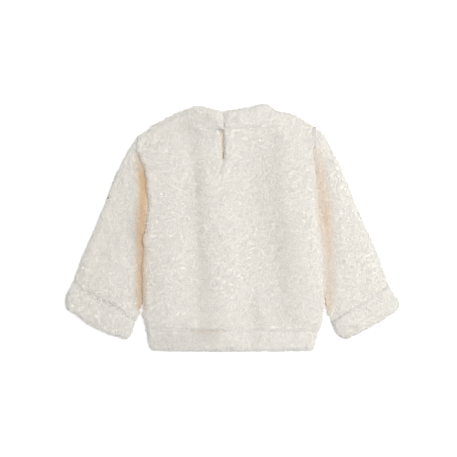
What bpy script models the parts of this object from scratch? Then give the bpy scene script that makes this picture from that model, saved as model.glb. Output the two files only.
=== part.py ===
"""A one-year-old's sherpa fleece pullover, laid flat on its front with its back showing.

Metres, +Z up. +Y runs from the hem to the neck and +X to the right of the laid garment. The origin is on
the surface that the garment lies on, under the middle of its outline. Each cut piece is its own solid:
the front lies below, the back lies on it, the sleeves, cuffs and hem band are flattened rings, and the
neckband is a strip that runs round the neck from one side of the back slit to the other.
"""

import math
from collections import namedtuple

import bmesh
import bpy
import numpy as np

# Fleece. The lower layer's pile is pressed flat by the weight on it, the upper layer's stands up.
LOWER_WALL = 0.0035
UPPER_WALL = 0.0075
FOLDED_WALL = 0.0035  # thickness measured across the turn of a folded edge
LAYER_GAP = 0.0003  # between two layers that lie on each other
SEAM_GAP = 0.0004  # between two pieces sewn edge to edge
ARMHOLE_GAP = 0.0008
SIDE_CLEARANCE = 0.0006  # between the body's side and a sleeve that lies against it
MOST_HOLLOW = 0.0034  # how far the upper layer lifts off the lower one under a ridge

# Heights of the upper surface above the table.
FOLD_HEIGHT = 0.0050  # the middle of a folded edge, where side and shoulder seams lie
ARMHOLE_HEIGHT = 0.0070  # bottom of the valley along the armhole seams
SEAM_HEIGHT = 0.0100  # bottom of the groove along the other seams
FREE_EDGE_HEIGHT = 0.0085  # rim of the upper layer at the hem, cuffs and neck
BODY_HEIGHT = 0.0142
SLEEVE_HEIGHT = 0.0140
CUFF_HEIGHT = 0.0155
HEM_HEIGHT = 0.0150
NECK_HEIGHT = 0.0150

# How far in from an edge its rounding reaches.
FOLD_REACH = 0.0110
UNDER_REACH = 0.0050
SEAM_REACH = 0.0075
FREE_REACH = 0.0060
TUCK_REACH = 0.0120  # how far in from a folded edge the wall's inside is drawn in
LEFT_VALLEY_REACH = 0.024  # width over which a sleeve's surface falls into the crease along the body
RIGHT_VALLEY_REACH = 0.032
LEAST_RISE = 0.0010  # of an upper surface above the middle of a fold

HEM_SEAM_Y = -0.1448
SLIT_X = -0.0114
SLIT_FOOT_Y = 0.0965
SLIT_GAPE = 0.0085  # width of the open slit under the neckband
SLIT_FOOT_GAP = 0.0014
BAND_END_GAP = 0.0012  # between the neckband's two fastened ends
LIP_REACH = 0.0130
LEFT_LIP_DROP = 0.0022
RIGHT_LIP_RISE = 0.0009
LEFT_LIP_HEIGHT = 0.0082
RIGHT_LIP_HEIGHT = 0.0108

PLACKET_WIDTH = 0.0210
PLACKET_THICKNESS = 0.0015
PLACKET_X = -0.0165
PLACKET_TOP_Y = 0.1540
PLACKET_FOOT_Y = 0.0925
PLACKET_ZONE = 0.0220  # the back's inside is lifted this far round the placket's middle and foot

# Where the grid lines of each piece lie: metres in from an edge, or shares of a piece's height.
EDGE_STEPS = (0.0, 0.0012, 0.0030, 0.0056, 0.0090, 0.0140)
UNDER_STEPS = (0.0, 0.0016, 0.0040, 0.0090)
NECK_STEPS = (0.0, 0.0006, 0.0017, 0.0036, 0.0064, 0.0100, 0.0150)
UNDERARM_SHARE = 0.56
TOP_SHARES = (0.955, 0.972, 0.985, 0.994, 1.0)
SLEEVE_ROWS = (0.0, 0.10, 0.18, 0.26, 0.34, 0.42, 0.50, 0.58, 0.66, 0.73, 0.80, 0.87, 0.93, 0.965, 0.985, 1.0)
SLEEVE_FAN = 1.8
UNDERARM_DEPTH = 0.45
BAND_ROWS = (0.0, 0.10, 0.26, 0.50, 0.74, 0.90, 1.0)
NECK_ROWS = (0.0, 0.12, 0.30, 0.55, 0.78, 0.92, 1.0)

Point = namedtuple("Point", "x y")
Fold = namedtuple("Fold", "top_x top_y foot_x foot_y rise half_width")
Edge = namedtuple("Edge", "line low reach")
Cloth = namedtuple("Cloth", "colour roughness")

FLEECE = Cloth((0.80, 0.76, 0.68, 1.0), 0.95)
BACKING = Cloth((0.74, 0.68, 0.58, 1.0), 0.90)

# The body's outline, from the shoulder tip down to the hem seam.
LEFT_ARMHOLE = [
    Point(-0.1292, 0.1314),
    Point(-0.1314, 0.1172),
    Point(-0.1308, 0.1062),
    Point(-0.1262, 0.0930),
    Point(-0.1216, 0.0797),
    Point(-0.1182, 0.0552),
    Point(-0.1167, 0.0360),
]
LEFT_SIDE = [
    Point(-0.1167, 0.0360),
    Point(-0.1174, 0.0200),
    Point(-0.1207, 0.0030),
    Point(-0.1235, -0.0140),
    Point(-0.1252, -0.0405),
    Point(-0.1256, -0.0873),
    Point(-0.1264, -0.1150),
    Point(-0.1252, -0.1340),
    Point(-0.1221, HEM_SEAM_Y),
]
RIGHT_ARMHOLE = [
    Point(0.1122, 0.1427),
    Point(0.1152, 0.1243),
    Point(0.1169, 0.1072),
    Point(0.1204, 0.0768),
    Point(0.1231, 0.0550),
    Point(0.1243, 0.0340),
]
RIGHT_SIDE = [
    Point(0.1243, 0.0340),
    Point(0.1265, 0.0080),
    Point(0.1299, -0.0405),
    Point(0.1314, -0.0873),
    Point(0.1314, -0.1115),
    Point(0.1282, -0.1340),
    Point(0.1240, HEM_SEAM_Y),
]
LEFT_SHOULDER = [
    Point(-0.1292, 0.1314),
    Point(-0.1136, 0.1441),
    Point(-0.0966, 0.1541),
    Point(-0.0795, 0.1617),
    Point(-0.0639, 0.1672),
]
RIGHT_SHOULDER = [
    Point(0.0596, 0.1661),
    Point(0.0738, 0.1619),
    Point(0.0909, 0.1548),
    Point(0.1122, 0.1427),
]

# Neckline seams, from the left shoulder to the right one.
BACK_NECK = [
    Point(-0.0639, 0.1672),
    Point(-0.0615, 0.1569),
    Point(-0.0560, 0.1484),
    Point(-0.0454, 0.1434),
    Point(-0.0284, 0.1413),
    Point(-0.0114, 0.1406),
    Point(0.0114, 0.1413),
    Point(0.0312, 0.1441),
    Point(0.0454, 0.1491),
    Point(0.0545, 0.1562),
    Point(0.0596, 0.1661),
]
FRONT_NECK = [
    Point(-0.0639, 0.1672),
    Point(-0.0605, 0.1400),
    Point(-0.0510, 0.1214),
    Point(-0.0369, 0.1100),
    Point(-0.0199, 0.1044),
    Point(-0.0014, 0.1030),
    Point(0.0170, 0.1044),
    Point(0.0340, 0.1100),
    Point(0.0478, 0.1214),
    Point(0.0565, 0.1400),
    Point(0.0596, 0.1661),
]
# The neckband's two folds, from the seam up, and its free edge between them.
LEFT_COLLAR_FOLD = [
    Point(-0.0636, 0.1673),
    Point(-0.0618, 0.1698),
    Point(-0.0575, 0.1718),
    Point(-0.0520, 0.1727),
]
RIGHT_COLLAR_FOLD = [
    Point(0.0593, 0.1662),
    Point(0.0585, 0.1689),
    Point(0.0558, 0.1717),
    Point(0.0505, 0.1752),
]
BACK_COLLAR_LEFT = [
    Point(-0.0520, 0.1727),
    Point(-0.0454, 0.1726),
    Point(-0.0369, 0.1711),
    Point(-0.0284, 0.1684),
    Point(-0.0199, 0.1667),
    Point(-0.0120, 0.1641),
]
BACK_COLLAR_RIGHT = [
    Point(-0.0108, 0.1641),
    Point(-0.0028, 0.1667),
    Point(0.0142, 0.1690),
    Point(0.0312, 0.1716),
    Point(0.0420, 0.1749),
    Point(0.0505, 0.1752),
]
FRONT_COLLAR = [
    Point(-0.0520, 0.1727),
    Point(-0.0487, 0.1575),
    Point(-0.0405, 0.1435),
    Point(-0.0285, 0.1335),
    Point(-0.0145, 0.1282),
    Point(-0.0014, 0.1270),
    Point(0.0118, 0.1285),
    Point(0.0258, 0.1340),
    Point(0.0376, 0.1446),
    Point(0.0461, 0.1590),
    Point(0.0505, 0.1752),
]

# The sleeves' edges, from the body to the cuff seam.
LEFT_SLEEVE_OUTER = [
    Point(-0.1300, 0.1316),
    Point(-0.1360, 0.1270),
    Point(-0.1412, 0.1200),
    Point(-0.1470, 0.1101),
    Point(-0.1590, 0.0873),
    Point(-0.1658, 0.0731),
    Point(-0.1797, 0.0362),
    Point(-0.1981, -0.0092),
    Point(-0.2109, -0.0376),
    Point(-0.2222, -0.0660),
    Point(-0.2256, -0.0788),
]
LEFT_SLEEVE_INNER_END = [
    Point(-0.1270, -0.1040),
    Point(-0.1286, -0.1130),
    Point(-0.1318, -0.1225),
    Point(-0.1354, -0.1306),
]
RIGHT_SLEEVE_OUTER = [
    Point(0.1130, 0.1430),
    Point(0.1250, 0.1340),
    Point(0.1342, 0.1214),
    Point(0.1406, 0.1101),
    Point(0.1491, 0.0930),
    Point(0.1642, 0.0592),
    Point(0.1726, 0.0362),
    Point(0.1903, -0.0036),
    Point(0.2052, -0.0373),
    Point(0.2140, -0.0600),
    Point(0.2216, -0.0840),
]
RIGHT_SLEEVE_INNER_END = [
    Point(0.1323, -0.1058),
    Point(0.1336, -0.1143),
    Point(0.1362, -0.1240),
    Point(0.1425, -0.1349),
]

# The cuffs' folded edges, from the seam to the free edge.
LEFT_CUFF_OUTER = [
    Point(-0.2256, -0.0788),
    Point(-0.2312, -0.0880),
    Point(-0.2360, -0.0980),
    Point(-0.2371, -0.1060),
    Point(-0.2335, -0.1150),
]
LEFT_CUFF_INNER = [
    Point(-0.1354, -0.1306),
    Point(-0.1372, -0.1370),
    Point(-0.1389, -0.1450),
    Point(-0.1424, -0.1530),
    Point(-0.1495, -0.1582),
]
RIGHT_CUFF_OUTER = [
    Point(0.2216, -0.0840),
    Point(0.2286, -0.0930),
    Point(0.2350, -0.1040),
    Point(0.2371, -0.1100),
    Point(0.2325, -0.1170),
]
RIGHT_CUFF_INNER = [
    Point(0.1425, -0.1349),
    Point(0.1438, -0.1410),
    Point(0.1466, -0.1480),
    Point(0.1530, -0.1545),
    Point(0.1600, -0.1568),
]

# The hem band's folded edges, from the seam to the free edge.
LEFT_HEM = [
    Point(-0.1214, HEM_SEAM_Y),
    Point(-0.1212, -0.1498),
    Point(-0.1204, -0.1569),
    Point(-0.1186, -0.1654),
    Point(-0.1150, -0.1740),
]
RIGHT_HEM = [
    Point(0.1228, HEM_SEAM_Y),
    Point(0.1210, -0.1512),
    Point(0.1193, -0.1598),
    Point(0.1176, -0.1683),
    Point(0.1138, -0.1743),
]
HEM_SAG = 0.0014  # how far the middle of a free edge hangs past its ends
LEFT_CUFF_SAG = 0.0042
RIGHT_CUFF_SAG = 0.0022

# Ridges and troughs of the back, each along a line from its top to its foot.
BODY_FOLDS = [
    Fold(-0.058, 0.140, -0.042, -0.145, -0.0036, 0.0110),
    Fold(-0.030, -0.010, -0.031, -0.145, -0.0016, 0.0070),
    Fold(0.056, 0.130, 0.076, -0.145, -0.0034, 0.0125),
    Fold(0.036, -0.080, 0.034, -0.145, -0.0014, 0.0060),
    Fold(-0.105, 0.060, -0.112, -0.130, -0.0010, 0.0080),
    Fold(-0.084, 0.120, -0.079, -0.130, 0.0018, 0.0130),
    Fold(0.002, 0.070, 0.004, -0.140, 0.0018, 0.0170),
    Fold(0.108, 0.110, 0.112, -0.130, 0.0020, 0.0110),
    Fold(0.030, 0.125, 0.040, -0.060, 0.0010, 0.0110),
    Fold(-0.014, 0.094, -0.021, 0.055, -0.0016, 0.0040),
    Fold(0.088, 0.138, 0.108, 0.112, -0.0012, 0.0060),
    Fold(-0.100, 0.128, -0.122, 0.108, -0.0010, 0.0060),
]
LEFT_SLEEVE_FOLDS = [
    Fold(-0.140, 0.060, -0.158, -0.090, 0.0012, 0.0100),
    Fold(-0.152, 0.085, -0.188, -0.070, -0.0012, 0.0090),
    Fold(-0.185, 0.000, -0.206, -0.066, 0.0008, 0.0080),
]
RIGHT_SLEEVE_FOLDS = [
    Fold(0.148, 0.050, 0.182, -0.095, 0.0012, 0.0120),
    Fold(0.142, 0.090, 0.165, 0.020, -0.0010, 0.0080),
    Fold(0.196, -0.030, 0.208, -0.075, -0.0009, 0.0080),
]
HEM_FOLDS = [
    Fold(0.036, HEM_SEAM_Y, 0.038, -0.174, -0.0020, 0.0040),
    Fold(-0.040, HEM_SEAM_Y, -0.038, -0.165, -0.0014, 0.0080),
    Fold(-0.006, -0.150, -0.004, -0.174, 0.0008, 0.0120),
    Fold(0.078, HEM_SEAM_Y, 0.080, -0.165, -0.0012, 0.0080),
    Fold(-0.092, -0.150, -0.090, -0.174, 0.0008, 0.0120),
]
FOLD_FADE = 0.014  # length over which a fold dies away past its ends


class Line:
    """A smooth line in plan through a few points, sampled finely and read by its share of length."""

    SAMPLES = 12

    def __init__(self, points):
        knots = np.array([(p[0], p[1]) for p in points])
        before = 2 * knots[0] - knots[1]
        after = 2 * knots[-1] - knots[-2]
        knots = np.vstack([before, knots, after])
        samples = []
        for a, b, c, d in zip(knots, knots[1:], knots[2:], knots[3:]):
            for step in range(self.SAMPLES):
                t = step / self.SAMPLES
                curve = 2 * b + (c - a) * t
                curve = curve + (2 * a - 5 * b + 4 * c - d) * t**2
                curve = curve + (3 * b - a - 3 * c + d) * t**3
                samples.append(curve / 2)
        self.points = np.array(samples + [knots[-2]])
        lengths = np.linalg.norm(np.diff(self.points, axis=0), axis=1)
        self.length = lengths.sum()
        self.shares = np.concatenate([[0.0], np.cumsum(lengths)]) / self.length

    def at(self, share):
        return np.array([np.interp(share, self.shares, self.points[:, k]) for k in (0, 1)])

    def x_at(self, y):
        order = np.argsort(self.points[:, 1])
        return float(np.interp(y, self.points[order, 1], self.points[order, 0]))

    def y_at(self, x):
        order = np.argsort(self.points[:, 0])
        return float(np.interp(x, self.points[order, 0], self.points[order, 1]))

    def share_at(self, x):
        order = np.argsort(self.points[:, 0])
        return float(np.interp(x, self.points[order, 0], self.shares[order]))

    def nearest(self, place):
        """Distance to this line, and the unit vector to its left at the nearest point."""
        starts, ends = self.points[:-1], self.points[1:]
        along = ends - starts
        share = ((place - starts) * along).sum(1) / (along * along).sum(1)
        gaps = np.linalg.norm(starts + along * np.clip(share, 0, 1)[:, None] - place, axis=1)
        found = int(gaps.argmin())
        direction = along[found] / np.linalg.norm(along[found])
        return float(gaps[found]), np.array([-direction[1], direction[0]])

    def distance(self, place):
        return self.nearest(place)[0]

    def stretch(self, start, end, count=16):
        """The part of this line between two shares."""
        return Line([self.at(share) for share in np.linspace(start, end, count)])

    def beside(self, gap, count=40):
        """This line moved to the left of its direction by a gap."""
        moved = []
        for share in np.linspace(0, 1, count):
            along = self.at(min(share + 0.01, 1.0)) - self.at(max(share - 0.01, 0.0))
            along = along / np.linalg.norm(along)
            moved.append(self.at(share) + np.array([-along[1], along[0]]) * gap)
        return Line(moved)


def coons(near, far, first, last, fan=1.0):
    """Plan position at (share, depth) inside four lines.

    near and far are crossed by the share, from first to last, and first and last by the depth. A fan
    above 1 crowds the depths towards the start of last, so that they spread out from that corner.
    """

    def plan(share, depth):
        ruled = near.at(share) * (1 - depth) + far.at(share) * depth
        ruled = ruled + first.at(depth) * (1 - share) + last.at(depth**fan) * share
        start = near.at(0) * (1 - depth) + far.at(0) * depth
        end = near.at(1) * (1 - depth) + far.at(1) * depth
        return ruled - start * (1 - share) - end * share

    return plan


def smooth(share):
    share = min(max(share, 0.0), 1.0)
    return share * share * (3 - 2 * share)


def roll(distance, reach):
    """Quarter ellipse: 0 at an edge, 1 from reach inwards."""
    share = min(max(distance / reach, 0.0), 1.0)
    return math.sqrt(1 - (1 - share) ** 2)


def tuck(distance):
    """How far a wall's inside is drawn in from a folded edge, at a distance from that edge."""
    return FOLDED_WALL * max(0.0, 1 - distance / TUCK_REACH)


def drawn_in(place, fold, other):
    """Step from a place to where the inside of a wall lies: square to a fold, towards another one."""
    distance, across = fold.nearest(place)
    middle = fold.at(0.5)
    inwards = math.copysign(1.0, fold.nearest(middle)[1] @ (other.at(0.5) - middle))
    return across * inwards * tuck(distance)


def relief(folds, place):
    """Height that the ridges and troughs add at a place."""
    total = 0.0
    for fold in folds:
        top = np.array([fold.top_x, fold.top_y])
        run = np.array([fold.foot_x, fold.foot_y]) - top
        length = np.linalg.norm(run)
        along = float((place - top) @ run / length)
        aside = float(np.linalg.norm(place - top - run / length * along)) / fold.half_width
        ends = smooth(min(along, length - along) / FOLD_FADE + 0.5)
        total += fold.rise * ends * math.exp(-aside * aside)
    return total


def upper_height(place, full, edges):
    """The upper surface: its full height, rounded down to each edge's own height."""
    height = full
    for edge in edges:
        rounded = edge.low + (full - edge.low) * roll(edge.line.distance(place), edge.reach)
        height = min(height, rounded)
    return height


def upper_inside(height, place):
    """The inside of the upper layer: on what lies below it, or lifted off where the cloth rises."""
    rest = LOWER_WALL + LAYER_GAP
    lift = min(max(height - rest - UPPER_WALL, 0.0), MOST_HOLLOW)
    if abs(place[0] - PLACKET_X) < PLACKET_ZONE and place[1] > PLACKET_FOOT_Y - PLACKET_ZONE:
        lift = max(lift, PLACKET_THICKNESS + LAYER_GAP)
    return rest + lift


def lower_outside(place, folds):
    """The underside: flat on the table and turned up at the folded edges."""
    turn = FOLD_HEIGHT - LAYER_GAP
    return max(turn * (1 - roll(line.distance(place), UNDER_REACH)) for line in folds)


def shares_across(width, steps, spacing, first=True, last=True):
    """Shares of a width: steps in from its first and last ends, and even between them."""
    start = [step / width for step in steps] if first else [0.0]
    end = [1 - step / width for step in reversed(steps)] if last else [1.0]
    count = max(1, round((end[0] - start[-1]) * width / spacing))
    between = list(np.linspace(start[-1], end[0], count + 1)[1:-1])
    return start + between + end


def material_for(name, cloth):
    material = bpy.data.materials.new(name)
    material.use_nodes = True
    shader = material.node_tree.nodes["Principled BSDF"]
    shader.inputs["Base Color"].default_value = cloth.colour
    shader.inputs["Roughness"].default_value = cloth.roughness
    shader.inputs["Metallic"].default_value = 0.0
    material.diffuse_color = cloth.colour
    return material


def cloth_wall(name, columns, rows, outer, inner, ring=False, left_out=()):
    """A piece of fleece as one closed wall: a grid sheet, doubled by an extrusion and then shaped.

    outer and inner give the place of the wall's two faces at a column and row. A ring's last column is
    joined to its first. left_out holds the (column, row) cells that a slit removes.
    """
    bm = bmesh.new()
    cells = columns if ring else columns - 1
    bmesh.ops.create_grid(bm, x_segments=cells, y_segments=rows - 1, size=0.5)
    column_of = bm.verts.layers.int.new("column")
    row_of = bm.verts.layers.int.new("row")
    for vert in bm.verts:
        vert[column_of] = round((vert.co.x + 0.5) * cells)
        vert[row_of] = round((vert.co.y + 0.5) * (rows - 1))
    slit = []
    for face in bm.faces:
        corner = (min(v[column_of] for v in face.verts), min(v[row_of] for v in face.verts))
        if corner in left_out:
            slit.append(face)
    bmesh.ops.delete(bm, geom=slit, context="FACES")
    if ring:
        first = {v[row_of]: v for v in bm.verts if v[column_of] == 0}
        last = [v for v in bm.verts if v[column_of] == columns]
        bmesh.ops.weld_verts(bm, targetmap={v: first[v[row_of]] for v in last})
    inside = list(bm.verts)
    doubled = bmesh.ops.extrude_face_region(bm, geom=bm.faces[:], use_keep_orig=True)
    outside = [part for part in doubled["geom"] if isinstance(part, bmesh.types.BMVert)]
    for vert in inside:
        vert.co = inner(vert[column_of], vert[row_of])
    for vert in outside:
        vert.co = outer(vert[column_of], vert[row_of])
    bmesh.ops.recalc_face_normals(bm, faces=bm.faces[:])
    if bm.calc_volume(signed=True) < 0:
        bmesh.ops.reverse_faces(bm, faces=bm.faces[:])
    mesh = bpy.data.meshes.new(name)
    bm.to_mesh(mesh)
    bm.free()
    mesh.materials.append(material_for(name, FLEECE))
    mesh.shade_smooth()
    mesh.set_sharp_from_angle(angle=math.radians(50))
    piece = bpy.data.objects.new(name, mesh)
    bpy.data.collections["pullover"].objects.link(piece)
    return piece


# ---------------------------------------------------------------------------------------- front and back

LEFT_EDGE = Line(LEFT_ARMHOLE[:-1] + LEFT_SIDE)
RIGHT_EDGE = Line(RIGHT_ARMHOLE[:-1] + RIGHT_SIDE)
ARMHOLES = [Line(LEFT_ARMHOLE), Line(RIGHT_ARMHOLE)]
SIDES = [Line(LEFT_SIDE), Line(RIGHT_SIDE)]
SHOULDERS = [Line(LEFT_SHOULDER), Line(RIGHT_SHOULDER)]
BACK_NECKLINE = Line(BACK_NECK)
FRONT_NECKLINE = Line(FRONT_NECK)
HEM_SEAM = Line([Point(LEFT_SIDE[-1].x, HEM_SEAM_Y), Point(RIGHT_SIDE[-1].x, HEM_SEAM_Y)])
SLIT_TOP_Y = BACK_NECKLINE.y_at(SLIT_X)
SLIT_LINE = Line([Point(SLIT_X, SLIT_TOP_Y), Point(SLIT_X, SLIT_FOOT_Y)])
NECK_FADE = 0.0120  # the shoulder's fold fades into the neckline's plain edge over this length
EDGE_FOLLOW = 0.060  # how far in from a side the columns bend with it


def body_columns(neckline, spacing, neck_spacing, extra=()):
    """x of each column along the top of a body panel: fine at the edges and at the neck's ends."""
    left, right = LEFT_EDGE.points[0, 0], RIGHT_EDGE.points[0, 0]
    neck_left, neck_right = neckline.points[0, 0], neckline.points[-1, 0]
    fixed = [left + step for step in EDGE_STEPS] + [right - step for step in EDGE_STEPS]
    fixed += [neck_left + step for step in NECK_STEPS] + [neck_right - step for step in NECK_STEPS]
    fixed = sorted(fixed + [neck_left - NECK_STEPS[4], neck_right + NECK_STEPS[4]] + list(extra))
    columns = []
    for a, b in zip(fixed, fixed[1:]):
        over_neck = neck_left <= a and b <= neck_right
        count = max(1, round((b - a) / (neck_spacing if over_neck else spacing)))
        columns += [a + (b - a) * step / count for step in range(count)]
    return columns + [fixed[-1]]


def body_rows(low_spacing, high_spacing, fixed):
    """Shares of a column's height, from the hem seam to its top."""
    rows = []
    for a, b in zip(fixed, fixed[1:]):
        count = max(1, round((b - a) / (high_spacing if a >= UNDERARM_SHARE else low_spacing)))
        rows += [a + (b - a) * step / count for step in range(count)]
    return rows + [fixed[-1]]


def body_top(x, neckline):
    """y of a panel's upper outline: shoulder, neckline, shoulder."""
    if x < neckline.points[0, 0]:
        return SHOULDERS[0].y_at(x)
    if x > neckline.points[-1, 0]:
        return SHOULDERS[1].y_at(x)
    return neckline.y_at(x)


def body_place(top_x, share, neckline):
    """Plan position on a panel's column, share of the way from the hem seam to its top."""
    y = HEM_SEAM_Y + (body_top(top_x, neckline) - HEM_SEAM_Y) * share
    left_top, right_top = LEFT_EDGE.points[0], RIGHT_EDGE.points[0]
    left_follow = max(0.0, 1 - (top_x - left_top[0]) / EDGE_FOLLOW)
    right_follow = max(0.0, 1 - (right_top[0] - top_x) / EDGE_FOLLOW)
    left_move = LEFT_EDGE.x_at(min(y, left_top[1])) - left_top[0]
    right_move = RIGHT_EDGE.x_at(min(y, right_top[1])) - right_top[0]
    return np.array([top_x + left_follow * left_move + right_follow * right_move, y])


def tucked_in(place):
    """Where the inside of a body panel lies: drawn in from its side and shoulder seams."""
    aside = tuck(SIDES[0].distance(place)) - tuck(SIDES[1].distance(place))
    down = tuck(min(line.distance(place) for line in SHOULDERS))
    return place + np.array([aside, -down * off_neck(place)])


def off_neck(place):
    """0 at the neckline's two ends and 1 from NECK_FADE away."""
    ends = (BACK_NECKLINE.at(0), BACK_NECKLINE.at(1))
    return smooth(min(float(np.linalg.norm(place - end)) for end in ends) / NECK_FADE)


def slit_gap(y):
    """Width of the open slit at a height."""
    share = (y - SLIT_FOOT_Y) / (SLIT_TOP_Y - SLIT_FOOT_Y)
    return SLIT_FOOT_GAP + (SLIT_GAPE - SLIT_FOOT_GAP) * max(share, 0.0)


def back_height(place):
    full = BODY_HEIGHT + relief(BODY_FOLDS, place)
    near_slit = 1 - smooth(SLIT_LINE.distance(place) / LIP_REACH)
    full += near_slit * (RIGHT_LIP_RISE if place[0] > SLIT_X else -LEFT_LIP_DROP)
    edges = [Edge(line, FOLD_HEIGHT, FOLD_REACH) for line in SIDES + SHOULDERS]
    edges += [Edge(line, ARMHOLE_HEIGHT, SEAM_REACH) for line in ARMHOLES]
    edges += [Edge(line, SEAM_HEIGHT, SEAM_REACH) for line in (BACK_NECKLINE, HEM_SEAM)]
    return upper_height(place, full, edges)


def make_back():
    """The back panel, with a slit from the middle of its neckline."""
    lips = (SLIT_X - SLIT_FOOT_GAP / 2, SLIT_X + SLIT_FOOT_GAP / 2)
    beside = (lips[0] - 0.0040, lips[1] + 0.0030)
    xs = body_columns(BACK_NECKLINE, 0.0105, 0.0095, lips + beside)
    slit_share = (SLIT_FOOT_Y - HEM_SEAM_Y) / (SLIT_TOP_Y - HEM_SEAM_Y)
    shares = body_rows(0.050, 0.031, (0.0, 0.010, 0.026, UNDERARM_SHARE, slit_share) + TOP_SHARES)
    slit_row = shares.index(slit_share)
    left_lip = xs.index(lips[0])
    left_out = {(left_lip, row) for row in range(slit_row, len(shares) - 1)}

    def plan(column, row):
        place = body_place(xs[column], shares[row], BACK_NECKLINE)
        if row > slit_row and column in (left_lip - 1, left_lip):
            place[0] -= slit_gap(place[1]) - SLIT_FOOT_GAP
        return place

    def height_at(column, row):
        if row >= slit_row and column == left_lip:
            return LEFT_LIP_HEIGHT
        if row >= slit_row and column == left_lip + 1:
            return RIGHT_LIP_HEIGHT
        return back_height(plan(column, row))

    def outer(column, row):
        return (*plan(column, row), height_at(column, row))

    def inner(column, row):
        place = plan(column, row)
        return (*tucked_in(place), upper_inside(height_at(column, row), place))

    return cloth_wall("back", len(xs), len(shares), outer, inner, left_out=left_out)


def make_front():
    """The front panel, flat on the table, with a deeper neckline than the back."""
    xs = body_columns(FRONT_NECKLINE, 0.0150, 0.0085)
    shares = body_rows(0.080, 0.036, (0.0, 0.010, 0.026, UNDERARM_SHARE) + TOP_SHARES)

    def outer(column, row):
        place = body_place(xs[column], shares[row], FRONT_NECKLINE)
        return (*place, max(lower_outside(place, SIDES), lower_outside(place, SHOULDERS) * off_neck(place)))

    def inner(column, row):
        place = body_place(xs[column], shares[row], FRONT_NECKLINE)
        return (*tucked_in(place), LOWER_WALL)

    return cloth_wall("front", len(xs), len(shares), outer, inner)


def make_placket():
    """The underlap that shows in the open slit, sewn behind its left lip."""
    size = (PLACKET_WIDTH, PLACKET_TOP_Y - PLACKET_FOOT_Y, PLACKET_THICKNESS)
    base = LOWER_WALL + LAYER_GAP
    middle = (PLACKET_X, (PLACKET_TOP_Y + PLACKET_FOOT_Y) / 2, base + PLACKET_THICKNESS / 2)
    bpy.ops.mesh.primitive_cube_add(size=1, location=middle)
    piece = bpy.context.object
    piece.name = piece.data.name = "placket"
    piece.scale = size
    bpy.ops.object.transform_apply(location=True, rotation=False, scale=True)
    rounding = piece.modifiers.new("soft edges", "BEVEL")
    rounding.width = PLACKET_THICKNESS * 0.3
    rounding.segments = 2
    piece.data.materials.append(material_for("placket", BACKING))
    for owner in list(piece.users_collection):
        owner.objects.unlink(piece)
    bpy.data.collections["pullover"].objects.link(piece)
    return piece


# ------------------------------------------------------------------------------------------ flattened rings


def make_ring(name, plan, inside_plan, rows, width, spacing, height, folds):
    """A tube of fleece lying flat: an upper and a lower half that meet at two folded edges.

    plan(share, depth) is the position across and along it and inside_plan the same for the inside, which
    is drawn in from the folds. rows are the depths, and height(place) is its top.
    """
    upper = shares_across(width, EDGE_STEPS, spacing)
    lower = shares_across(width, UNDER_STEPS, 1.25 * spacing)[-2:0:-1]
    shares = upper + lower

    def is_fold(column):
        return column in (0, len(upper) - 1)

    def outer(column, row):
        place = plan(shares[column], rows[row])
        if is_fold(column):
            return (*place, FOLD_HEIGHT)
        return (*place, height(place) if column < len(upper) else lower_outside(place, folds))

    def inner(column, row):
        place = plan(shares[column], rows[row])
        if is_fold(column):
            level = LOWER_WALL + LAYER_GAP / 2
        elif column < len(upper):
            level = upper_inside(height(place), place)
        else:
            level = LOWER_WALL
        return (*inside_plan(shares[column], rows[row]), level)

    return cloth_wall(name, len(shares), len(rows), outer, inner, ring=True)


def make_sleeve(name, outer_points, armhole, side, inner_end, aside, folds, valley_reach):
    """A sleeve from the armhole to the cuff seam. Its inner edge lies against the body, to one side of it
    (aside is -1 or 1), and its surface falls into the crease along the body over valley_reach."""
    outer_line = Line(outer_points)
    by_body = [Point(p.x + aside * SIDE_CLEARANCE, p.y) for p in side if p.y > inner_end[0].y + 0.010]
    inner_line = Line(by_body + inner_end)
    armhole_line = Line([Point(p.x + aside * ARMHOLE_GAP, p.y) for p in armhole])
    cuff_line = Line([outer_line.at(1.0), inner_line.at(1.0)])
    crease = Line(list(armhole_line.points[::6]) + list(inner_line.points[1::6]))
    edges = [
        Edge(outer_line, FOLD_HEIGHT, FOLD_REACH),
        Edge(inner_line, FOLD_HEIGHT, UNDER_REACH),
        Edge(cuff_line, SEAM_HEIGHT, SEAM_REACH),
    ]

    def height(place):
        full = SLEEVE_HEIGHT + relief(folds, place)
        full = ARMHOLE_HEIGHT + (full - ARMHOLE_HEIGHT) * smooth(crease.distance(place) / valley_reach)
        return max(upper_height(place, full, edges), FOLD_HEIGHT + LEAST_RISE)

    plan = coons(armhole_line, cuff_line, outer_line, inner_line, SLEEVE_FAN)

    width = (armhole_line.length + cuff_line.length) / 2

    def inside_plan(share, depth):
        place = plan(share, depth)
        from_outer = plan(share + tuck(share * width) / width, depth) - place
        from_inner = plan(share - tuck((1 - share) * width) / width, depth) - place
        by_underarm = 1 - smooth(depth / UNDERARM_DEPTH)
        beside_body = drawn_in(place, inner_line, outer_line)
        return place + from_outer + from_inner * (1 - by_underarm) + beside_body * by_underarm

    edge_folds = (outer_line, inner_line)
    return make_ring(name, plan, inside_plan, SLEEVE_ROWS, width, 0.0105, height, edge_folds)


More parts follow.
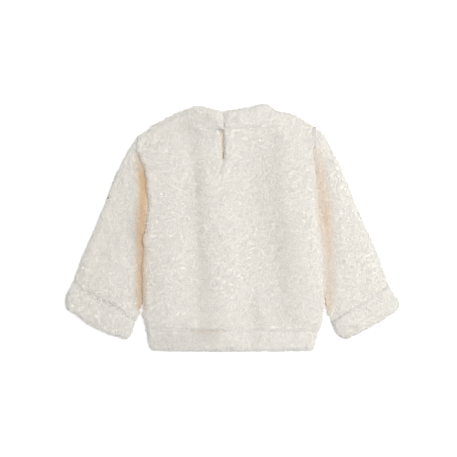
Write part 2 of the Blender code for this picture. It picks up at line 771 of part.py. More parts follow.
def make_band(name, outer_points, inner_points, spacing, full, folds, sag):
    """A cuff or hem band: a short flattened ring between a seam and a free edge."""
    start, end = (np.array(points[0]) for points in (outer_points, inner_points))
    away = np.array([start[1] - end[1], end[0] - start[0]]) / np.linalg.norm(end - start)
    away = away if away @ (np.array(outer_points[-1]) - start) > 0 else -away
    outer_line = Line([start + away * SEAM_GAP] + outer_points[1:])
    inner_line = Line([end + away * SEAM_GAP] + inner_points[1:])
    seam = Line([outer_line.at(0.0), inner_line.at(0.0)])
    start, end = outer_line.at(1.0), inner_line.at(1.0)
    bows = [(share, sag * math.sin(math.pi * share)) for share in np.linspace(0, 1, 9)]
    free = Line([start + (end - start) * share + away * bow for share, bow in bows])
    edges = [
        Edge(outer_line, FOLD_HEIGHT, FOLD_REACH),
        Edge(inner_line, FOLD_HEIGHT, FOLD_REACH),
        Edge(seam, SEAM_HEIGHT, SEAM_REACH),
        Edge(free, FREE_EDGE_HEIGHT, FREE_REACH),
    ]

    def height(place):
        return max(upper_height(place, full + relief(folds, place), edges), FOLD_HEIGHT + LEAST_RISE)

    plan = coons(seam, free, outer_line, inner_line)

    def inside_plan(share, depth):
        along_row = (tuck(share * seam.length) - tuck((1 - share) * seam.length)) / seam.length
        return plan(share + along_row, depth)

    edge_folds = (outer_line, inner_line)
    return make_ring(name, plan, inside_plan, BAND_ROWS, seam.length, spacing, height, edge_folds)


# ----------------------------------------------------------------------------------------------- neckband


def make_neckband():
    """A strip from the slit's left side, round the front of the neck, to the slit's right side."""
    back_seam = BACK_NECKLINE.beside(SEAM_GAP)
    front_seam = FRONT_NECKLINE.beside(SEAM_GAP)
    ends = [back_seam.share_at(SLIT_X + side * BAND_END_GAP / 2) for side in (-1, 1)]
    left_seam, right_seam = back_seam.stretch(0.0, ends[0]), back_seam.stretch(ends[1], 1.0)
    left_collar, right_collar = Line(BACK_COLLAR_LEFT), Line(BACK_COLLAR_RIGHT)
    front_collar = Line(FRONT_COLLAR)
    left_fold, right_fold = Line(LEFT_COLLAR_FOLD), Line(RIGHT_COLLAR_FOLD)
    left_end = Line([left_seam.at(1), left_collar.at(1)])
    right_end = Line([right_seam.at(0), right_collar.at(0)])
    left = coons(left_seam, left_collar, left_fold, left_end)
    front = coons(front_seam, front_collar, left_fold, right_fold)
    right = coons(right_seam, right_collar, right_end, right_fold)
    left_shares = shares_across(left_collar.length, EDGE_STEPS, 0.0095, last=False)
    front_shares = shares_across(front_collar.length, EDGE_STEPS, 0.0100)
    right_shares = shares_across(right_collar.length, EDGE_STEPS, 0.0095, first=False)
    columns = [(left, share) for share in reversed(left_shares)]
    columns += [(front, share) for share in front_shares[1:-1]]
    columns += [(right, share) for share in reversed(right_shares)]
    fold_columns = (len(left_shares) - 1, len(left_shares) + len(front_shares) - 2)
    edges = [
        Edge(left_fold, FOLD_HEIGHT, FOLD_REACH),
        Edge(right_fold, FOLD_HEIGHT, FOLD_REACH),
        Edge(back_seam, SEAM_HEIGHT, SEAM_REACH),
        Edge(left_collar, FREE_EDGE_HEIGHT, FREE_REACH),
        Edge(right_collar, FREE_EDGE_HEIGHT, FREE_REACH),
        Edge(left_end, SEAM_HEIGHT, FREE_REACH),
        Edge(right_end, SEAM_HEIGHT, FREE_REACH),
    ]

    def height(place):
        return max(upper_height(place, NECK_HEIGHT, edges), FOLD_HEIGHT + LEAST_RISE)

    def outer(column, row):
        plan, share = columns[column]
        place = plan(share, NECK_ROWS[row])
        if column in fold_columns:
            return (*place, FOLD_HEIGHT)
        return (*place, lower_outside(place, (left_fold, right_fold)) if plan is front else height(place))

    def inner(column, row):
        plan, share = columns[column]
        place = plan(share, NECK_ROWS[row])
        if column in fold_columns:
            level = LOWER_WALL + LAYER_GAP / 2
        elif plan is front:
            level = LOWER_WALL
        else:
            level = upper_inside(height(place), place)
        inwards = drawn_in(place, left_fold, right_fold) + drawn_in(place, right_fold, left_fold)
        return (*(place + inwards), level)

    return cloth_wall("neckband", len(columns), len(NECK_ROWS), outer, inner)


def main():
    for old in list(bpy.data.objects):
        bpy.data.objects.remove(old)
    bpy.context.scene.collection.children.link(bpy.data.collections.new("pullover"))
    make_front()
    make_back()
    make_placket()
    make_neckband()
    make_sleeve(
        "sleeve_left", LEFT_SLEEVE_OUTER, LEFT_ARMHOLE, LEFT_SIDE, LEFT_SLEEVE_INNER_END,
        -1, LEFT_SLEEVE_FOLDS, LEFT_VALLEY_REACH,
    )
    make_sleeve(
        "sleeve_right", RIGHT_SLEEVE_OUTER, RIGHT_ARMHOLE, RIGHT_SIDE, RIGHT_SLEEVE_INNER_END,
        1, RIGHT_SLEEVE_FOLDS, RIGHT_VALLEY_REACH,
    )
    make_band("cuff_left", LEFT_CUFF_OUTER, LEFT_CUFF_INNER, 0.0110, CUFF_HEIGHT, [], LEFT_CUFF_SAG)
    make_band("cuff_right", RIGHT_CUFF_OUTER, RIGHT_CUFF_INNER, 0.0110, CUFF_HEIGHT, [], RIGHT_CUFF_SAG)
    make_band("hem_band", LEFT_HEM, RIGHT_HEM, 0.0110, HEM_HEIGHT, HEM_FOLDS, HEM_SAG)


main()
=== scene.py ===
import math

import bpy
import numpy as np
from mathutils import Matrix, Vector
from mathutils.bvhtree import BVHTree
from mathutils.kdtree import KDTree


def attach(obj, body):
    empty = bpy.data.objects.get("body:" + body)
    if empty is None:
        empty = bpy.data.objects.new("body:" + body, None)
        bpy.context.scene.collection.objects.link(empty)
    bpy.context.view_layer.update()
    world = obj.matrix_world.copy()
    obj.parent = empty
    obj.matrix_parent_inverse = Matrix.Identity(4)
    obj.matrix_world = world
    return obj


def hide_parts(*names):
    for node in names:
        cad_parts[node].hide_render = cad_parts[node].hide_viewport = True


# A baby's teddy fleece pullover, laid flat on its front. Each cut piece is a shell on its solid's form,
# and the curly pile that stands on it is a piece of its own.

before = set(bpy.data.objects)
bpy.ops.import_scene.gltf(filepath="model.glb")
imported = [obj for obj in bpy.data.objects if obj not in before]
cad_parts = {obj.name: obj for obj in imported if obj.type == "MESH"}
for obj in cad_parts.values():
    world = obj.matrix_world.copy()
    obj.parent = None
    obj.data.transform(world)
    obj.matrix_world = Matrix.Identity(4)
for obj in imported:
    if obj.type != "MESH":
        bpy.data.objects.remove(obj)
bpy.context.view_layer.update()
print("frame loaded,", len(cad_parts), "nodes")

fleece = {
    "pileDepth": 0.0015,  # the shells lie this far inside the solids, and the pile fills the rest
    "wallReach": 0.0120,  # a face that meets its own piece within this is inside the wall
    "tuftEvery": 0.00196,  # distance from tuft to tuft
    "tuftLength": 0.0026,
    "tuftRadius": 0.0010,
    "tuftRise": 0.0014,
    "softLight": 0.80,  # how far the tufts' normals turn to the cloth's
    "glow": 0.45,  # how far normals turn upwards, because light comes through the pile at an edge
    "stray": 1.0,  # how far a tuft turns from its clump's swirl, in radians
    "crossReach": 0.0034,
    "clumpEvery": 0.0052,  # the pile parts into clumps about this wide
    # painted warm shade and painted shade on the cloth between the tufts, where the pile shades it
    "rootPaintedWarmShade": 0.10,  # of the cloth between the tufts
    "rootPaintedShade": 0.07,
    "lowest": 0.0002,  # of a tuft above the floor
    "seamReach": 0.0014,  # edges this near another piece are sewn to it
    "lumpSize": 0.0120,
    "lumpHeight": 0.00045,
    "finestLump": 0.00025,
    "rayStart": 0.0004,  # above a face, so that a ray doesn't meet the face itself
    "creaseSlope": 0.5,  # creases fade out over this change of slope
    "creaseStart": 0.2,
    "shownShare": 0.25,  # a face bears pile where more than this of it shows
    "sewnShare": 0.95,  # and less than this of it is sewn, unless it faces up
    "facingDown": -0.30,
    "crossSlope": 0.4,  # tufts that cross a seam stand on cloth that faces up this much
    "crossMove": (0.3, 1.1),  # how far they go towards the seam, as a share of the way
    "crossPatch": 0.004,
    "crossUneven": 0.3,
    "seed": 7,
}

tuft = {
    "lengthRange": (0.7, 1.3),
    "radiusRange": (0.8, 1.25),
    "riseRange": (0.8, 1.2),
    "bendRange": (0.1, 0.5),  # sideways, as a share of its length
    "edgeRise": 0.75,  # share of its rise at the edge of its clump
    "middleRise": 0.5,  # and what the middle adds
    "rings": [  # share of the rise, of the length and of the sideways bend, then radius and pitch
        (-0.20, 0.00, 0.0, 0.95, 1.3),
        (0.75, 0.16, 0.0, 1.10, 0.7),
        (1.00, 0.58, 0.3, 0.80, -0.2),
    ],
    "tip": (0.55, 0.92, 1.0),
    # painted warm shade of each ring's points, then the tip: most at the root, where the tufts shade one
    # another
    "paintedWarmShade": [0.16, 0.16, 0.16, 0.06, 0.10, 0.10, 0.03, 0.05, 0.05, 0.03],
}

clump = {
    "rowShare": 0.87,  # from row to row, as a share of the distance along a row
    "jitter": 0.32,
    "swirl": 1.3,  # at most, in radians
    "reach": 0.6,  # from its middle to its edge, as a share of the distance along a row
}

# Painted warm shade, along lines in plan where the cloth lies deep in crevices, fold troughs and seams: the
# tan stands in for light that reaches there only through more fleece.
hollows = [
    {
        "line": [
            (-0.1300, 0.103), (-0.1305, 0.092), (-0.1285, 0.080), (-0.1262, 0.062), (-0.1262, 0.039),
            (-0.1290, 0.011), (-0.1290, -0.046), (-0.1290, -0.096), (-0.1305, -0.110),
        ],
        "width": 0.0092, "strengths": [0.4, 1.0, 1.0, 1.0, 0.95, 0.9, 0.9, 0.75],
        "sleeve": "leftSleeve", "top": 0.0150,
    },
    {
        "line": [
            (0.1190, 0.108), (0.1205, 0.089), (0.1250, 0.068), (0.1290, 0.039), (0.1315, 0.011),
            (0.1345, -0.018), (0.1375, -0.046), (0.1380, -0.074), (0.1360, -0.112),
        ],
        "width": 0.0110, "strengths": [0.30, 0.48, 0.55, 0.66, 0.62, 0.50, 0.38, 0.45, 0.50],
        "sleeve": "rightSleeve", "top": 0.0160,
    },
    {
        "line": [(-0.0155, 0.1370), (-0.0140, 0.1180), (-0.0130, 0.0980)],
        "width": 0.0035, "strengths": [0.20, 0.40, 0.40], "sleeve": "", "top": 0.0160,
    },
    {
        "line": [(-0.060, -0.1475), (-0.012, -0.1475)],
        "width": 0.005, "strengths": [0.15, 0.30, 0.32, 0.18], "sleeve": "", "top": 0.0170,
    },
    {
        "line": [(-0.053, 0.130), (-0.050, 0.067), (-0.045, -0.018), (-0.040, -0.103), (-0.037, -0.144)],
        "width": 0.014, "strengths": [0.05, 0.10, 0.11, 0.11, 0.06], "sleeve": "", "top": 0.0350,
    },
    {
        "line": [(0.052, 0.089), (0.053, 0.039), (0.064, -0.018), (0.070, -0.0745)],
        "width": 0.018, "strengths": [0.05, 0.11, 0.12, 0.08], "sleeve": "", "top": 0.0350,
    },
    {
        "line": [(-0.150, 0.100), (-0.190, -0.030), (-0.200, -0.120)],
        "width": 0.035, "strengths": [0.10, 0.12, 0.12], "sleeve": "", "top": 0.0350,
    },
    {
        "line": [(-0.115, 0.125), (-0.075, 0.150), (-0.035, 0.160)],
        "width": 0.018, "strengths": [0.10], "sleeve": "", "top": 0.0350,
    },
]
# depth below its top over which a hollow's painted shade comes in, but for the sleeve's own slope
hollowDrop = 0.0050

neckSeam = [
    (-0.0635, 0.1660), (-0.0622, 0.1590), (-0.0603, 0.1540), (-0.0575, 0.1500), (-0.0490, 0.1445),
    (-0.0380, 0.1424), (-0.0270, 0.1413), (-0.0107, 0.1408), (0.0010, 0.1409), (0.0184, 0.1421),
    (0.0360, 0.1455), (0.0446, 0.1488), (0.0496, 0.1518), (0.0532, 0.1550), (0.0560, 0.1585),
    (0.0580, 0.1625), (0.0593, 0.1660),
]

# Painted shade along lines in plan, in fold troughs, along seams, in the slit and beside the crevices; an
# amount below zero paints light instead. Amounts are spread evenly over the line.
paintedShades = [
    {"line": neckSeam, "depths": [-0.04], "width": 0.0025},
    {"line": [(-0.053, 0.130), (-0.050, 0.067), (-0.045, -0.018), (-0.040, -0.103), (-0.037, -0.144)],
     "depths": [0.04, 0.09, 0.09, 0.10, 0.08], "width": 0.017},
    {"line": [(0.050, 0.117), (0.052, 0.089), (0.053, 0.039), (0.064, -0.018), (0.070, -0.0745),
     (0.074, -0.117)],
     "depths": [0.10, 0.13, 0.13, 0.12, 0.11, 0.08], "width": 0.024},
    {"line": [(-0.114, 0.120), (-0.106, 0.040), (-0.112, -0.020), (-0.112, -0.110), (-0.105, -0.165)],
     "depths": [0.03, -0.01, 0.04, 0.06, 0.06], "width": 0.015},
    {"line": [(-0.090, 0.140), (-0.060, 0.150), (-0.025, 0.150)], "depths": [0.02, 0.06, 0.04],
     "width": 0.024},
    {"line": [(0.026, -0.060), (0.029, -0.110), (0.038, -0.160)], "depths": [0.0, 0.07, 0.06],
     "width": 0.008},
    {"line": [(-0.090, -0.160), (-0.020, -0.160)], "depths": [0.10, 0.07], "width": 0.014},
    {"line": [(-0.140, 0.090), (-0.138, 0.060), (-0.137, 0.035), (-0.139, 0.005), (-0.140, -0.095)],
     "depths": [0.04, 0.09, 0.14, 0.08, 0.06], "width": 0.009},
    {"line": [(-0.1180, 0.040), (-0.1190, 0.020), (-0.1225, 0.004), (-0.1262, -0.018), (-0.1270, -0.060),
              (-0.1278, -0.105)], "depths": [-0.08, -0.10, -0.12, -0.12, -0.10], "width": 0.0025},
    {"line": [(-0.1322, 0.130), (-0.1337, 0.117), (-0.1330, 0.108)], "depths": [-0.03, -0.08, -0.04],
     "width": 0.0030},
    {"line": [(-0.0260, 0.1420), (-0.0215, 0.1100)], "depths": [0.09, 0.10, 0.06], "width": 0.0065},
    {"line": [(0.175, -0.050), (0.192, -0.112)], "depths": [0.02, 0.03], "width": 0.028},
    {"line": [(-0.058, -0.1450), (-0.016, -0.1450)], "depths": [0.03, 0.07, 0.05], "width": 0.0020},
    {"line": [(-0.0182, 0.1410), (-0.0165, 0.1250), (-0.0150, 0.1050)], "depths": [0.03, 0.06, 0.05],
     "width": 0.0030},
    {"line": [(-0.0205, 0.0990), (-0.0205, 0.0900), (-0.0212, 0.0760)], "depths": [0.10, 0.10, 0.06],
     "width": 0.0050},
    {"line": [(-0.1190, -0.1640), (-0.1020, -0.1720)], "depths": [-0.07], "width": 0.0045},
    {"line": [(0.1140, 0.1350), (0.1140, 0.1180)], "depths": [0.06], "width": 0.0100},
    {"line": [(0.1530, -0.1380), (0.1690, -0.1470)], "depths": [0.06], "width": 0.0090},
    {"line": [(-0.0300, 0.1560), (-0.0190, 0.1480)], "depths": [0.04], "width": 0.0080},
    {"line": [(-0.1491, 0.1044), (-0.1655, 0.0703), (-0.1832, 0.0249), (-0.2024, -0.0206),
     (-0.2208, -0.0660),
              (-0.2301, -0.0887)], "depths": [-0.10, -0.12, -0.12, -0.10], "width": 0.0045},
    {"line": [(-0.2244, -0.1186), (-0.2003, -0.1356), (-0.1761, -0.1484), (-0.1534, -0.1555)],
     "depths": [-0.07], "width": 0.0040},
    {"line": [(-0.1278, 0.1299), (-0.1023, 0.1484), (-0.0767, 0.1619)], "depths": [-0.05], "width": 0.0040},
    {"line": [(0.1262, 0.045), (0.1285, 0.010), (0.1310, -0.040), (0.1320, -0.090)],
     "depths": [-0.04, -0.10, -0.08, -0.06], "width": 0.0035},
    {"line": [(0.000, 0.045), (-0.002, -0.018), (0.001, -0.145)], "depths": [0, -0.03, -0.03],
     "width": 0.014},
    {"line": [(-0.2115, -0.0905), (-0.1480, -0.1240)], "depths": [0.08, 0.14, 0.14, 0.08], "width": 0.0028,
     "dots": 0.003},
    {"line": [(-0.2000, -0.0870), (-0.1570, -0.1100)], "depths": [0.05, 0.08, 0.05], "width": 0.0040,
     "dots": 0.003},
    {"line": [(-0.0497, 0.1626), (-0.0270, 0.1498)], "depths": [0.04, 0.07, 0.03], "width": 0.0025},
    {"line": [(-0.0597, 0.1527), (-0.0384, 0.1442)], "depths": [0.04, 0.06, 0.03], "width": 0.0028},
    {"line": [(-0.0600, 0.1427), (-0.0595, 0.1328)], "depths": [0.07, 0.03], "width": 0.0035},
    {"line": [(-0.0105, 0.1470), (-0.0108, 0.1450)], "depths": [0.16, 0.16], "width": 0.0018},
    {"line": [(-0.0175, 0.1413), (-0.0145, 0.1350), (-0.0128, 0.1300), (-0.0128, 0.0975)],
     "depths": [0.18, 0.22, 0.20, 0.18, 0.30], "width": 0.0014},
]

hemSeam = [(-0.1205, -0.1450), (0.1225, -0.1450)]
# share of the hem seam that its pile hides
hemCover = [1.2, 1.2, 1.0, 0.3, 0.25, 0.4, 1.0, 1.2, 1.2, 1.2, 1.2]
leftCuffSeam = [(-0.2248, -0.0797), (-0.1356, -0.1309)]
rightCuffSeam = [(0.2218, -0.0843), (0.1427, -0.1352)]
leftGap = [
    (-0.1186, 0.050), (-0.1172, 0.040), (-0.1173, 0.030), (-0.1184, 0.020), (-0.1201, 0.010),
     (-0.1224, 0.000),
    (-0.1250, -0.020), (-0.1251, -0.040), (-0.1262, -0.060), (-0.1262, -0.080), (-0.1266, -0.092),
]
rightGap = [
    (0.1178, 0.110), (0.1195, 0.090), (0.1227, 0.060), (0.1247, 0.030), (0.1268, 0.010), (0.1277, 0.0),
    (0.1282, -0.020), (0.1297, -0.040), (0.1308, -0.060), (0.1318, -0.080), (0.1325, -0.092),
]
slitTop = [(-0.0114, 0.1400), (-0.0114, 0.1700)]
leftArmhole = [(-0.1306, 0.1305), (-0.1319, 0.1190), (-0.1324, 0.1090), (-0.1294, 0.0980)]
rightArmhole = [(0.1162, 0.1385), (0.1177, 0.1230), (0.1182, 0.1080), (0.1190, 0.0900)]


def activate(piece):
    bpy.ops.object.select_all(action="DESELECT")
    piece.select_set(True)
    bpy.context.view_layer.objects.active = piece


def applyAll(piece):
    activate(piece)
    for modifier in list(piece.modifiers):
        bpy.ops.object.modifier_apply(modifier=modifier.name)


def readPoints(mesh, what="co"):
    values = np.empty(len(mesh.vertices) * 3, np.float32)
    mesh.vertices.foreach_get(what, values)
    return values.reshape(-1, 3).astype(float)


def writePoints(mesh, points):
    mesh.vertices.foreach_set("co", points.astype(np.float32).ravel())
    mesh.update()


def readAttribute(mesh, name):
    values = np.empty(len(mesh.vertices), np.float32)
    mesh.attributes[name].data.foreach_get("value", values)
    return values.astype(float)


def writeAttribute(mesh, name, values):
    attribute = mesh.attributes.get(name) or mesh.attributes.new(name, "FLOAT", "POINT")
    attribute.data.foreach_set("value", np.asarray(values, np.float32))


def smooth(share):
    share = np.clip(share, 0.0, 1.0)
    return share * share * (3 - 2 * share)


def uneven(points, size, seed, waves=16):
    # a soft random value for each point, about -2 to 2, with swells about as wide as size
    rng = np.random.default_rng(seed)
    total = np.zeros(len(points))
    for _ in range(waves):
        way = rng.normal(size=3)
        way /= np.linalg.norm(way)
        pitch = size * rng.uniform(1.3, 2.8)
        total += np.sin(points @ way * (math.tau / pitch) + rng.uniform(0, math.tau))
    return total / math.sqrt(waves / 2)


def placeOn(points, line):
    # in plan, each point's distance from a line of points, its place along it from 0 to 1, and the way to it
    stations = np.array(line)
    steps = np.linalg.norm(np.diff(stations, axis=0), axis=1)
    starts = np.concatenate([[0.0], np.cumsum(steps)])
    nearest, along, way = np.full(len(points), 1.0), np.zeros(len(points)), np.zeros((len(points), 3))
    for index, step in enumerate(steps):
        run = stations[index + 1] - stations[index]
        share = np.clip((points[:, :2] - stations[index]) @ run / step**2, 0, 1)
        offset = stations[index] + share[:, None] * run - points[:, :2]
        distance = np.linalg.norm(offset, axis=1)
        closer = distance < nearest
        along[closer] = (starts[index] + share[closer] * step) / starts[-1]
        way[closer, :2] = offset[closer]
        nearest[closer] = distance[closer]
    return nearest, along, way


def spread(values, along):
    # values spread evenly over a line, read at each place along it
    return np.interp(along, np.linspace(0, 1, len(values)), values)


def paintedWarmShadeAt(points, name):
    # painted warm shade: the strongest of the hollows near each point
    paintedWarmShade = np.zeros(len(points))
    for hollow in hollows:
        distance, along, _ = placeOn(points, hollow["line"])
        near = spread(hollow["strengths"], along) * np.exp(-(distance / hollow["width"]) ** 2)
        if name != hollow["sleeve"]:
            near *= smooth((hollow["top"] - points[:, 2]) / hollowDrop)
        paintedWarmShade = np.maximum(paintedWarmShade, near)
    return paintedWarmShade


def paintedShadeAt(points):
    # painted shade, or painted light where an amount is negative, summed over the lines; dotted lines break
    # it into spots along a seam
    depth = np.zeros(len(points))
    for paintedShade in paintedShades:
        distance, along, _ = placeOn(points, paintedShade["line"])
        paintedDark = spread(paintedShade["depths"], along) * np.exp(-(distance / paintedShade["width"]) ** 2)
        if "dots" in paintedShade:
            paintedDark *= np.clip(0.6 + 0.8 * uneven(points, paintedShade["dots"], fleece["seed"]), 0, 2)
        depth += paintedDark
    return depth


def crease(line, rises, width):
    # a soft trough, or a ridge where it rises, along a line; rises are spread evenly over its length
    return {"line": line, "rises": rises, "width": width}


def draw(line, amount, width=0.0035):
    # a pull in plan towards a line of points, which closes the gap between two pieces there
    return {"line": line, "amount": amount, "width": width, "gap": 0.0001}


def creaseHeight(points, creases):
    height = np.zeros(len(points))
    for fold in creases:
        distance, along, _ = placeOn(points, fold["line"])
        height += spread(fold["rises"], along) * np.exp(-(distance / fold["width"]) ** 2)
    return height


def copySolid(node, name):
    # a node's mesh as a new object, its doubles merged and its triangles paired
    piece = bpy.data.objects.new(name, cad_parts[node].data.copy())
    piece.data.name = name
    piece.data.materials.clear()
    bpy.context.scene.collection.objects.link(piece)
    activate(piece)
    bpy.ops.mesh.customdata_custom_splitnormals_clear()
    bpy.ops.object.mode_set(mode="EDIT")
    bpy.ops.mesh.select_all(action="SELECT")
    bpy.ops.mesh.remove_doubles(threshold=0.00001)
    bpy.ops.mesh.tris_convert_to_quads(face_threshold=1.2, shape_threshold=1.2)
    bpy.ops.object.mode_set(mode="OBJECT")
    return piece


def surfaceOf(mesh):
    return BVHTree.FromPolygons([v.co for v in mesh.vertices], [p.vertices for p in mesh.polygons])


solids = {name: surfaceOf(node.data) for name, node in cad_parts.items()}


def markShown(piece, node, facing):
    # shown is 1 where the wall faces the room, 0 inside the garment and where it rests;
    # sewn is 1 along the edges that are sewn to another piece
    own = surfaceOf(piece.data)
    others = [solid for name, solid in solids.items() if name != node]
    shown, sewn = [], []
    for vertex in piece.data.vertices:
        start = vertex.co + vertex.normal * fleece["rayStart"]
        hit = own.ray_cast(start, vertex.normal, fleece["wallReach"])
        shown.append(float(hit[0] is None and facing[0] < vertex.normal.z < facing[1]))
        sewn.append(float(any(tree.find_nearest(vertex.co, fleece["seamReach"])[0] for tree in others)))
    writeAttribute(piece.data, "shown", shown)
    writeAttribute(piece.data, "sewn", sewn)


def makeShell(settings):
    name = settings["name"]
    piece = copySolid(settings["node"], name)
    markShown(piece, settings["node"], settings.get("facing", (-0.55, 1.1)))
    rounding = piece.modifiers.new("rounding", "SUBSURF")
    rounding.levels = rounding.render_levels = settings["levels"]
    applyAll(piece)
    mesh = piece.data
    shown = readAttribute(mesh, "shown")
    normals = readPoints(mesh, "normal")
    points = readPoints(mesh)
    upward = shown * smooth(normals[:, 2] / fleece["creaseSlope"] + fleece["creaseStart"])
    inwards = normals * (shown * -fleece["pileDepth"])[:, None]
    inwards[:, :2] *= 1 - readAttribute(mesh, "sewn")[:, None]
    seed = fleece["seed"] + settings["seed"]
    swell = uneven(points, fleece["lumpSize"], seed) * fleece["lumpHeight"]
    swell += uneven(points, fleece["lumpSize"] / 2, seed + 1) * fleece["finestLump"]
    points += normals * (shown * swell)[:, None] + inwards
    for push in settings.get("pushes", []):
        distance, along, _ = placeOn(points, push["line"])
        near = spread(push.get("shares", [1]), along) * np.exp(-(distance / push["width"]) ** 2)
        near *= smooth((points[:, 2] - push["from"]) / push["drop"])
        points[:, :2] += near[:, None] * push["shift"]
    for pull in settings.get("draws", []):
        distance, _, way = placeOn(points, pull["line"])
        near = pull["amount"] * np.exp(-(distance / pull["width"]) ** 2)
        moved = np.clip(distance - pull["gap"], 0, near)[:, None]
        points += way / np.maximum(distance, 1e-6)[:, None] * moved
    points[:, 2] += creaseHeight(points, settings["creases"]) * upward
    writePoints(mesh, points)
    # painted warm shade in the hollows and on the cloth between the tufts
    writeAttribute(mesh, "paintedWarmShade", np.maximum(paintedWarmShadeAt(points, name), fleece["rootPaintedWarmShade"] * shown))
    # painted shade and painted light along the lines, and painted shade on the cloth between the tufts
    writeAttribute(mesh, "paintedShade", paintedShadeAt(points) + fleece["rootPaintedShade"] * shown)
    mesh.shade_smooth()
    softenLight(mesh, readPoints(mesh, "normal"), shown)
    return piece


def softenLight(mesh, normals, shown):
    # light comes through the pile, so an edge is lit nearly as the top is
    turned = normals.copy()
    turned[:, 2] += fleece["glow"] * shown
    turned /= np.linalg.norm(turned, axis=1)[:, None]
    mesh.normals_split_custom_set_from_vertices(turned)


def clumps(points, right, ahead, seed):
    # for each tuft the angle away from the middle of its clump, turned by the clump's own swirl, and
    # how near the middle it stands, from 0 to 1
    rng = np.random.default_rng(fleece["seed"] + seed + 500)
    every = fleece["clumpEvery"]
    low, high = points.min(0) - every, points.max(0) + every
    across = np.arange(low[0], high[0], every)
    along = np.arange(low[1], high[1], every * clump["rowShare"])
    middles = np.array([(x + every / 2 * (row % 2), y, 0.0) for row, y in enumerate(along) for x in across])
    middles[:, :2] += rng.uniform(-clump["jitter"], clump["jitter"], (len(middles), 2)) * every
    swirl = rng.uniform(-clump["swirl"], clump["swirl"], len(middles))
    tree = KDTree(len(middles))
    for index, middle in enumerate(middles):
        tree.insert(middle, index)
    tree.balance()
    found = np.array([tree.find((x, y, 0.0))[1] for x, y, _ in points])
    offset = points - middles[found]
    offset[:, 2] = 0.0
    turn = np.arctan2((offset * ahead).sum(1), (offset * right).sum(1)) + swirl[found]
    return turn, np.clip(1 - np.linalg.norm(offset, axis=1) / (every * clump["reach"]), 0, 1)


